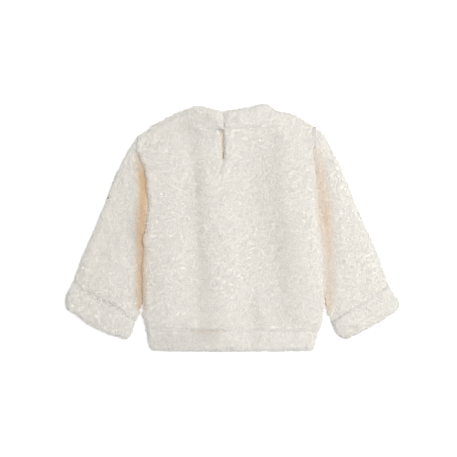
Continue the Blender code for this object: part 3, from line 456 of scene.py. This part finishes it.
def makePile(shell, settings, name, half=None):
    # curled tufts, each a bent three-sided cone, joined into one mesh
    mesh = shell.data
    mesh.calc_loop_triangles()
    corners = np.empty(len(mesh.loop_triangles) * 3, np.int32)
    mesh.loop_triangles.foreach_get("vertices", corners)
    corners = corners.reshape(-1, 3)
    points, normals = readPoints(mesh), readPoints(mesh, "normal")
    shown, sewn = readAttribute(mesh, "shown"), readAttribute(mesh, "sewn")
    a, b, c = (points[corners[:, k]] for k in range(3))
    weight = np.linalg.norm(np.cross(b - a, c - a), axis=1) / 2
    facingUp = normals[corners].mean(1)[:, 2] > fleece["facingDown"]
    bare = (sewn[corners].mean(1) < fleece["sewnShare"]) | facingUp
    weight = weight * (shown[corners].mean(1) > fleece["shownShare"]) * bare
    for seam in settings.get("crossed", []):
        distance, along, _ = placeOn((a + b + c) / 3, seam["line"])
        weight = weight * np.where(distance < fleece["crossReach"], 1 + spread(seam["shares"], along), 1)
    if half is not None:
        weight = weight * (((a + b + c)[:, 0] / 3 > settings["pileSplit"]) == half)
    rng = np.random.default_rng(fleece["seed"] + settings["seed"] + 100 * bool(half))
    count = int(weight.sum() / fleece["tuftEvery"] ** 2)
    steps = (np.arange(count) + rng.random(count)) * weight.sum() / count
    found = np.searchsorted(np.cumsum(weight), steps).clip(0, len(weight) - 1)
    u, v = rng.random((2, count, 1))
    u, v = np.where(u + v > 1, 1 - u, u), np.where(u + v > 1, 1 - v, v)
    shares = np.hstack([1 - u - v, u, v])
    root = (points[corners[found]] * shares[:, :, None]).sum(1)
    up = (normals[corners[found]] * shares[:, :, None]).sum(1)
    up /= np.linalg.norm(up, axis=1)[:, None]
    for seam in settings.get("crossed", []):  # some of the tufts beside a seam stand on it and cover it
        distance, along, way = placeOn(root, seam["line"])
        patchy = fleece["crossUneven"] * uneven(root, fleece["crossPatch"], fleece["seed"])
        covered = spread(seam["shares"], along) + patchy
        near = (distance < fleece["crossReach"]) & (up[:, 2] > fleece["crossSlope"])
        moved = near & (rng.random(count) < covered)
        root += way * (moved * rng.uniform(*fleece["crossMove"], count))[:, None]
        up = np.where(moved[:, None], (0.0, 0.0, 1.0), up)
    right = np.cross(np.array([0.0, 1.0, 0.0]), up)
    right /= np.maximum(np.linalg.norm(right, axis=1), 1e-6)[:, None]
    ahead = np.cross(up, right)
    out, middleness = clumps(root, right, ahead, settings["seed"])
    turn = out + rng.normal(0, fleece["stray"], count)
    lean = right * np.cos(turn)[:, None] + ahead * np.sin(turn)[:, None]
    side = np.cross(up, lean)
    long = fleece["tuftLength"] * rng.uniform(*tuft["lengthRange"], count)
    thick = fleece["tuftRadius"] * rng.uniform(*tuft["radiusRange"], count)
    grown = tuft["edgeRise"] + tuft["middleRise"] * middleness
    rise = fleece["tuftRise"] * rng.uniform(*tuft["riseRange"], count) * grown
    bend = rng.choice([-1.0, 1.0], count) * rng.uniform(*tuft["bendRange"], count) * long

    def placeAt(high, far, bent):
        raised = root + up * (rise * high)[:, None]
        return raised + lean * (long * far)[:, None] + side * (bend * bent)[:, None]

    rings = []
    for high, far, bent, radius, pitch in tuft["rings"]:
        middle = placeAt(high, far, bent)
        over = up * math.cos(pitch) - lean * math.sin(pitch)
        for corner in range(3):
            angle = math.radians(90 + 120 * corner)
            around = side * math.cos(angle) + over * math.sin(angle)
            rings.append(middle + around * (thick * radius)[:, None])
    rings.append(placeAt(*tuft["tip"]))
    tufts = np.stack(rings, 1)
    tufts[:, :, 2] = np.maximum(tufts[:, :, 2], fleece["lowest"])
    faces = [(0, 2, 1)]
    for ring in (0, 3):
        faces += [(ring + k, ring + (k + 1) % 3, ring + 3 + (k + 1) % 3, ring + 3 + k) for k in range(3)]
    faces += [(6 + k, 6 + (k + 1) % 3, 9) for k in range(3)]
    pile = bpy.data.objects.new(name, bpy.data.meshes.new(name))
    bpy.context.scene.collection.objects.link(pile)
    joinCopies(pile.data, tufts, faces)
    # painted warm shade of the hollows, and at each tuft's root
    paintedWarmShade = np.maximum(paintedWarmShadeAt(root, shell.name)[:, None], np.array(tuft["paintedWarmShade"])[None, :])
    writeAttribute(pile.data, "paintedWarmShade", paintedWarmShade.ravel())
    # painted shade and painted light along the lines, read at each tuft's root
    writeAttribute(pile.data, "paintedShade", np.repeat(paintedShadeAt(root), tufts.shape[1]))
    pile.data.shade_smooth()
    # the tufts take light mostly as the cloth that they stand on does
    own = readPoints(pile.data, "normal")
    blended = own * (1 - fleece["softLight"]) + np.repeat(up, tufts.shape[1], 0) * fleece["softLight"]
    softenLight(pile.data, blended, 1.0)
    return pile


def joinCopies(mesh, copies, faces):
    # many small shapes with the same faces as one mesh: copies holds each one's points
    count, size = copies.shape[:2]
    starts = np.concatenate([[0], np.cumsum([len(face) for face in faces])])
    pattern = np.concatenate([np.array(face) for face in faces])
    loops = (pattern[None, :] + np.arange(count)[:, None] * size).ravel()
    polygons = (starts[None, :-1] + np.arange(count)[:, None] * starts[-1]).ravel()
    mesh.vertices.add(count * size)
    mesh.vertices.foreach_set("co", copies.astype(np.float32).ravel())
    mesh.loops.add(len(loops))
    mesh.loops.foreach_set("vertex_index", loops.astype(np.int32))
    mesh.polygons.add(len(polygons))
    mesh.polygons.foreach_set("loop_start", polygons.astype(np.int32))
    mesh.update(calc_edges=True)
    mesh.validate()


class Wire:
    # a shader socket that takes part in Python expressions, each operator adding its Math node

    def __init__(self, tree, socket=None):
        self.tree = tree
        self.socket = socket

    def add(self, kind, settings=None, values=None, output=0):
        node = self.tree.nodes.new(kind)
        for name, setting in (settings or {}).items():
            setattr(node, name, setting)
        for name, value in (values or {}).items():
            if isinstance(value, Wire):
                self.tree.links.new(value.socket, node.inputs[name])
            else:
                node.inputs[name].default_value = value
        return Wire(self.tree, node.outputs[output])

    def maths(self, operation, first, second):
        return self.add("ShaderNodeMath", {"operation": operation}, {0: first, 1: second})

    def __add__(self, other):
        return self.maths("ADD", self, other)

    def __radd__(self, other):
        return self.maths("ADD", other, self)

    def __sub__(self, other):
        return self.maths("SUBTRACT", self, other)

    def __rsub__(self, other):
        return self.maths("SUBTRACT", other, self)

    def __mul__(self, other):
        return self.maths("MULTIPLY", self, other)

    def __rmul__(self, other):
        return self.maths("MULTIPLY", other, self)


def newMaterial(name, constants):
    # a Principled material with its constant values set, its shader and a wire to start from
    material = bpy.data.materials.new(name)
    material.use_nodes = True
    shader = material.node_tree.nodes["Principled BSDF"]
    for socket, value in constants.items():
        shader.inputs[socket].default_value = value
    return material, shader, Wire(material.node_tree)


fleeceFinish = {
    "cream": (0.955, 0.925, 0.852, 1.0),
    "paintedShadeTan": (0.780, 0.540, 0.340, 1.0),
    "patches": 0.05,  # how much tone varies from patch to patch
    "patchSize": 18.0,  # patches to the metre
    "curls": 0.10,
    "curlSize": 330.0,
    "fibres": 0.04,
    "fibreSize": 900.0,
    "bump": 0.5,
    "bumpDepth": 0.0004,
}


def makeFleece(name):
    material, shader, wire = newMaterial(name, {
        "Roughness": 0.95, "Specular IOR Level": 0.15, "Subsurface Weight": 0.6,
        "Subsurface Radius": (1.0, 0.95, 0.9), "Subsurface Scale": 0.003,
        "Sheen Weight": 0.06, "Sheen Roughness": 0.6, "Sheen Tint": (1.0, 0.96, 0.9, 1.0),
    })
    place = wire.add("ShaderNodeTexCoord", output="Object")
    patches = wire.add("ShaderNodeTexNoise", values={"Vector": place, "Scale": fleeceFinish["patchSize"]})
    fibres = wire.add("ShaderNodeTexNoise", values={"Vector": place, "Scale": fleeceFinish["fibreSize"]})
    curls = wire.add("ShaderNodeTexVoronoi", {"feature": "SMOOTH_F1"}, {
        "Vector": place, "Scale": fleeceFinish["curlSize"], "Smoothness": 0.5})
    # painted warm shade mixes the cream towards a shade tan
    paintedWarmShade = wire.add("ShaderNodeAttribute", {"attribute_name": "paintedWarmShade"}, output="Fac")
    paintedShade = wire.add("ShaderNodeAttribute", {"attribute_name": "paintedShade"}, output="Fac")
    # the tone carries the painted shade, and painted light where an amount is negative
    tone = 1 - patches * fleeceFinish["patches"] - curls * fleeceFinish["curls"] - paintedShade
    tone = tone - fibres * fleeceFinish["fibres"]
    tinted = wire.add("ShaderNodeMix", {"data_type": "RGBA"}, {
        "Factor": paintedWarmShade, 6: fleeceFinish["cream"], 7: fleeceFinish["paintedShadeTan"]}, output=2)
    shaded = wire.add("ShaderNodeMix", {"data_type": "RGBA", "blend_type": "MULTIPLY"}, {
        "Factor": 1.0, 6: tinted, 7: tone}, output=2)
    material.node_tree.links.new(shaded.socket, shader.inputs["Base Color"])
    bumped = wire.add("ShaderNodeBump", values={
        "Strength": fleeceFinish["bump"], "Distance": fleeceFinish["bumpDepth"], "Height": fibres - curls})
    material.node_tree.links.new(bumped.socket, shader.inputs["Normal"])
    return material


fleeceMaterial = makeFleece("teddyFleece")

shoulderPush = {
    "line": [(0.080, 0.158), (0.105, 0.148), (0.125, 0.130)],
    "width": 0.012, "from": -0.0050, "drop": 0.0010, "shift": (0.0018, 0.0024),
}
backPanel = {
    "name": "backPanel", "node": "back", "levels": 2, "seed": 10, "pileSplit": 0.0,
    "flat": (0.264, 0.316), "area": 0.0735, "restsOn": ["frontPanel"],
    "creases": [
        crease([(-0.051, 0.120), (-0.051, 0.067), (-0.046, -0.018), (-0.041, -0.103)],
            [0, -0.0010, -0.0010, 0], 0.006),
        crease(neckSeam, [0.0022, 0.0024, 0.0030, 0.0032, 0.0032], 0.0055),
        crease(hemSeam, [0.0014, 0.0002, 0.0014, 0.0018, 0.0016], 0.0040),
        crease(leftArmhole, [0.0030, 0.0035, 0.0030, 0.0], 0.0050),
        crease(rightArmhole, [0.0030, 0.0030, 0.0020, 0.0], 0.0050),
        crease([(0.117, 0.106), (0.121, 0.039), (0.126, -0.018), (0.127, -0.100)],
            [-0.0015, -0.0018, -0.0010, 0], 0.006),
        crease([(-0.014, 0.096), (-0.017, 0.075), (-0.020, 0.059)], [-0.0022, -0.0016, 0.0], 0.0030),
        crease([(-0.0195, 0.140), (-0.0180, 0.120), (-0.0145, 0.098)], [-0.0010, -0.0025, -0.0010], 0.0035),
        crease([(0.026, -0.039), (0.030, -0.090), (0.034, -0.141)], [0, -0.0008, -0.0012], 0.0050),
        crease([(-0.095, 0.117), (-0.085, 0.103)], [0, -0.0008, 0], 0.0025),
        crease([(-0.052, 0.135), (-0.034, 0.118)], [-0.0012, 0], 0.0030),
        crease([(-0.060, 0.150), (-0.044, 0.146), (-0.027, 0.147)], [0, -0.0010, 0], 0.0022),
    ],
    "pushes": [
        {
            "line": [
                (-0.1302, 0.104), (-0.1274, 0.096), (-0.1245, 0.089), (-0.1202, 0.071), (-0.1180, 0.054),
                (-0.1168, 0.032), (-0.1193, 0.010), (-0.1238, -0.017), (-0.1254, -0.057), (-0.1256, -0.088),
            ],
            "width": 0.010, "from": 0.0050, "drop": 0.0040, "shift": (-0.0030, 0.0),
            "shares": [1.0, 1.0, 1.0, 0.5, 1.2, 1.1, 0.7, 0.7, 0.8],
        },
        {
            "line": [(-0.0190, 0.1400), (-0.0170, 0.1250), (-0.0150, 0.1120), (-0.0130, 0.1000)],
            "width": 0.0030, "from": 0.0050, "drop": 0.0020, "shift": (0.0010, 0.0),
            "shares": [1.0, 1.0, 0.8, 0.3],
        },
        shoulderPush,
    ],
    "crossed": [
        {"line": neckSeam, "shares": [1.3]}, {"line": hemSeam, "shares": hemCover},
        {"line": leftArmhole, "shares": [1.8]}, {"line": rightArmhole, "shares": [1.2]},
        {"line": rightGap, "shares": [0.7]},
    ],
    "draws": [
        draw(neckSeam, 0.0008), draw(leftGap, 0.0010), draw(rightGap, 0.0010), draw(leftArmhole, 0.0006),
    ],
}
frontPanel = {
    "name": "frontPanel", "node": "front", "levels": 2, "seed": 20, "facing": (-0.55, 0.5),
    "flat": (0.264, 0.316), "area": 0.0700, "restsOn": [], "creases": [], "pushes": [shoulderPush],
    "draws": [draw(leftGap, 0.0010), draw(rightGap, 0.0010)],
}
neckBand = {
    "name": "neckBand", "node": "neckband", "levels": 2, "seed": 30,
    "flat": (0.300, 0.024), "area": 0.0066, "restsOn": ["frontPanel"],
    "creases": [
        crease(neckSeam, [0.0022, 0.0024, 0.0030, 0.0032, 0.0032], 0.0055),
        crease([(-0.050, 0.164), (-0.040, 0.153), (-0.030, 0.149)], [0, -0.0012, 0], 0.0022),
    ],
    "crossed": [{"line": neckSeam, "shares": [1.3]}],
    "draws": [draw(neckSeam, 0.0008), draw(slitTop, 0.0016, 0.005)],
}
leftSleeve = {
    "name": "leftSleeve", "node": "sleeve_left", "levels": 2, "seed": 40,
    "flat": (0.222, 0.230), "area": 0.0330, "restsOn": [],
    "creases": [
        crease(leftCuffSeam, [0.0010, 0.0006, 0.0010], 0.0040),
        crease(leftArmhole, [0.0040, 0.0048, 0.0042, 0.0010], 0.0055),
    ],
    "crossed": [{"line": leftArmhole, "shares": [1.8]}, {"line": leftCuffSeam, "shares": [0.6]}],
    "draws": [draw(leftGap, 0.0010), draw(leftArmhole, 0.0006)],
}
outerPush = {
    "line": [(0.1300, 0.1350), (0.1650, 0.0700), (0.1900, 0.0100), (0.2150, -0.0500), (0.2350, -0.0950)],
    "width": 0.012, "from": -0.0050, "drop": 0.0010, "shift": (0.0020, 0.0010),
}
rightSleeve = {
    "name": "rightSleeve", "node": "sleeve_right", "levels": 2, "seed": 50,
    "flat": (0.203, 0.249), "area": 0.0310, "restsOn": [],
    "creases": [
        crease(rightCuffSeam, [0.0028, 0.0028], 0.0045),
        crease(rightArmhole, [0.0030, 0.0030, 0.0020, 0.0], 0.0050),
    ],
    "crossed": [
        {"line": rightArmhole, "shares": [1.2]}, {"line": rightCuffSeam, "shares": [1.6]},
        {"line": rightGap, "shares": [0.7]},
    ],
    "pushes": [shoulderPush, outerPush],
    "draws": [draw(rightGap, 0.0010), draw(rightCuffSeam, 0.0008)],
}
leftCuff = {
    "name": "leftCuff", "node": "cuff_left", "levels": 2, "seed": 60,
    "flat": (0.222, 0.037), "area": 0.0082, "restsOn": [],
    "creases": [crease(leftCuffSeam, [0.0010, 0.0006, 0.0010], 0.0040)],
    "pushes": [{
        "line": [(-0.2200, -0.1200), (-0.1900, -0.1420), (-0.1600, -0.1580)],
        "width": 0.010, "from": -0.0050, "drop": 0.0010, "shift": (-0.0010, -0.0020),
        "shares": [0.2, 1.0, 0.6],
    }],
    "crossed": [{"line": leftCuffSeam, "shares": [0.6]}],
}
rightCuff = {
    "name": "rightCuff", "node": "cuff_right", "levels": 2, "seed": 70,
    "flat": (0.205, 0.036), "area": 0.0068, "restsOn": [],
    "creases": [crease(rightCuffSeam, [0.0028, 0.0028], 0.0045)],
    "pushes": [
        outerPush,
        {
            "line": [(0.1480, -0.1540), (0.1750, -0.1480), (0.2050, -0.1280), (0.2330, -0.1080)],
            "width": 0.010, "from": -0.0050, "drop": 0.0010, "shift": (0.0008, -0.0018),
        },
    ],
    "crossed": [{"line": rightCuffSeam, "shares": [1.6]}],
    "draws": [draw(rightCuffSeam, 0.0008)],
}
hemBand = {
    "name": "hemBand", "node": "hem_band", "levels": 2, "seed": 80,
    "flat": (0.490, 0.031), "area": 0.0150, "restsOn": [],
    "creases": [
        crease(hemSeam, [0.0014, 0.0002, 0.0014, 0.0018, 0.0016], 0.0040),
        crease([(0.038, -0.150), (0.038, -0.172)], [-0.0012, -0.0008], 0.0022),
    ],
    "crossed": [{"line": hemSeam, "shares": hemCover}],
}


def makeFleecePiece(settings):
    shell = makeShell(settings)
    shell.data.materials.append(fleeceMaterial)
    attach(shell, "root")
    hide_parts(settings["node"])
    name = settings["name"] + "Pile"
    if "pileSplit" in settings:
        sides = (("Left", False), ("Right", True))
        piles = [makePile(shell, settings, name + side, half) for side, half in sides]
    else:
        piles = [makePile(shell, settings, name)]
    for pile in piles:
        pile.data.materials.append(fleeceMaterial)
        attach(pile, "root")
    triangles = [sum(len(p.vertices) - 2 for p in piece.data.polygons) for piece in [shell] + piles]
    print(settings["name"], "made, triangles:", triangles)


for settings in (frontPanel, backPanel, neckBand, leftSleeve, rightSleeve, leftCuff, rightCuff, hemBand):
    makeFleecePiece(settings)

placket = {
    "node": "placket", "name": "placketStrip", "flat": (0.021, 0.0615),
    "waveSize": 0.02, "waveHeight": 0.0001, "waveSeed": 3,
    "ribScale": 140.0, "ribBend": 1.5, "ribTone": 0.5, "bump": 0.5, "bumpDepth": 0.0003,
    # the rib pattern is the knitted backing's own, and the tan of both colours is painted shade inside the
    # slit
    "groove": (0.74, 0.66, 0.57, 1.0), "rib": (0.82, 0.75, 0.67, 1.0),
}


def makePlacket():
    piece = copySolid(placket["node"], placket["name"])
    rounding = piece.modifiers.new("rounding", "SUBSURF")
    rounding.subdivision_type = "SIMPLE"
    rounding.levels = rounding.render_levels = 2
    applyAll(piece)
    points = readPoints(piece.data)
    points[:, 2] += uneven(points, placket["waveSize"], placket["waveSeed"]) * placket["waveHeight"]
    writePoints(piece.data, points)
    # painted shade along the slit's lines
    writeAttribute(piece.data, "paintedShade", paintedShadeAt(points))
    piece.data.shade_smooth()
    material, shader, wire = newMaterial("shadedKnittedBacking", {
        "Roughness": 0.9, "Specular IOR Level": 0.2, "Sheen Weight": 0.2})
    place = wire.add("ShaderNodeTexCoord", output="Object")
    ribs = wire.add("ShaderNodeTexWave", {"bands_direction": "X"}, {
        "Vector": place, "Scale": placket["ribScale"], "Distortion": placket["ribBend"]})
    colour = wire.add("ShaderNodeMix", {"data_type": "RGBA"}, {
        "Factor": ribs * placket["ribTone"], 6: placket["groove"], 7: placket["rib"]}, output=2)
    # painted shade darkens the backing's colour along the slit
    paintedShade = wire.add("ShaderNodeAttribute", {"attribute_name": "paintedShade"}, output="Fac")
    shaded = wire.add("ShaderNodeMix", {"data_type": "RGBA", "blend_type": "MULTIPLY"}, {
        "Factor": 1.0, 6: colour, 7: 1 - paintedShade}, output=2)
    material.node_tree.links.new(shaded.socket, shader.inputs["Base Color"])
    bumped = wire.add("ShaderNodeBump", values={
        "Strength": placket["bump"], "Distance": placket["bumpDepth"], "Height": ribs})
    material.node_tree.links.new(bumped.socket, shader.inputs["Normal"])
    piece.data.materials.append(material)
    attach(piece, "root")
    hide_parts(placket["node"])
    print("placket made")


makePlacket()

studio = {
    "floorSize": 40.0, "floorColour": (0.96, 0.96, 0.96, 1.0),
    "cameraHeight": 1.5, "aimX": -0.005, "aimY": -0.0014, "frameWidth": 0.649, "edgeHeight": 0.005,
    "world": 0.63, "floorGlow": 0.12,
    "overhead": {"place": (0.25, 0.15, 1.9), "size": 1.4, "watts": 17.5},
    "side": {"place": (1.4, 0.3, 1.2), "size": 1.2, "watts": 2.5},
    "fill": {"place": (0.42, 0.05, 1.0), "size": 0.5, "watts": 3.6},
}


def makeLight(name, settings):
    data = bpy.data.lights.new(name, "AREA")
    data.shape = "DISK"
    data.size = settings["size"]
    data.energy = settings["watts"]
    light = bpy.data.objects.new(name, data)
    light.location = settings["place"]
    light.visible_camera = False
    light.rotation_euler = (Vector((0, 0, 0)) - light.location).to_track_quat("-Z", "Y").to_euler()
    bpy.context.scene.collection.objects.link(light)


def makeStudio():
    bpy.ops.object.select_all(action="DESELECT")
    bpy.ops.mesh.primitive_plane_add(size=studio["floorSize"], location=(0, 0, 0))
    floor = bpy.context.object
    floor.name = floor.data.name = "floor"
    material, shader, _ = newMaterial("paleFloor", {
        "Base Color": studio["floorColour"], "Roughness": 0.9, "Specular IOR Level": 0.1,
        "Emission Color": (1.0, 1.0, 1.0, 1.0), "Emission Strength": studio["floorGlow"]})
    floor.data.materials.append(material)
    world = bpy.data.worlds.new("studio")
    world.use_nodes = True
    background = world.node_tree.nodes["Background"]
    background.inputs["Color"].default_value = (1.0, 1.0, 1.0, 1.0)
    background.inputs["Strength"].default_value = studio["world"]
    bpy.context.scene.world = world
    for name in ("overhead", "side", "fill"):
        makeLight(name, studio[name])
    bpy.context.scene.view_settings.view_transform = "Standard"
    data = bpy.data.cameras.new("camera")
    data.sensor_width = 36.0
    data.lens = data.sensor_width * (studio["cameraHeight"] - studio["edgeHeight"]) / studio["frameWidth"]
    camera = bpy.data.objects.new("camera", data)
    camera.location = (studio["aimX"], studio["aimY"], studio["cameraHeight"])
    bpy.context.scene.collection.objects.link(camera)
    bpy.context.scene.camera = camera
    print("studio made")


makeStudio()
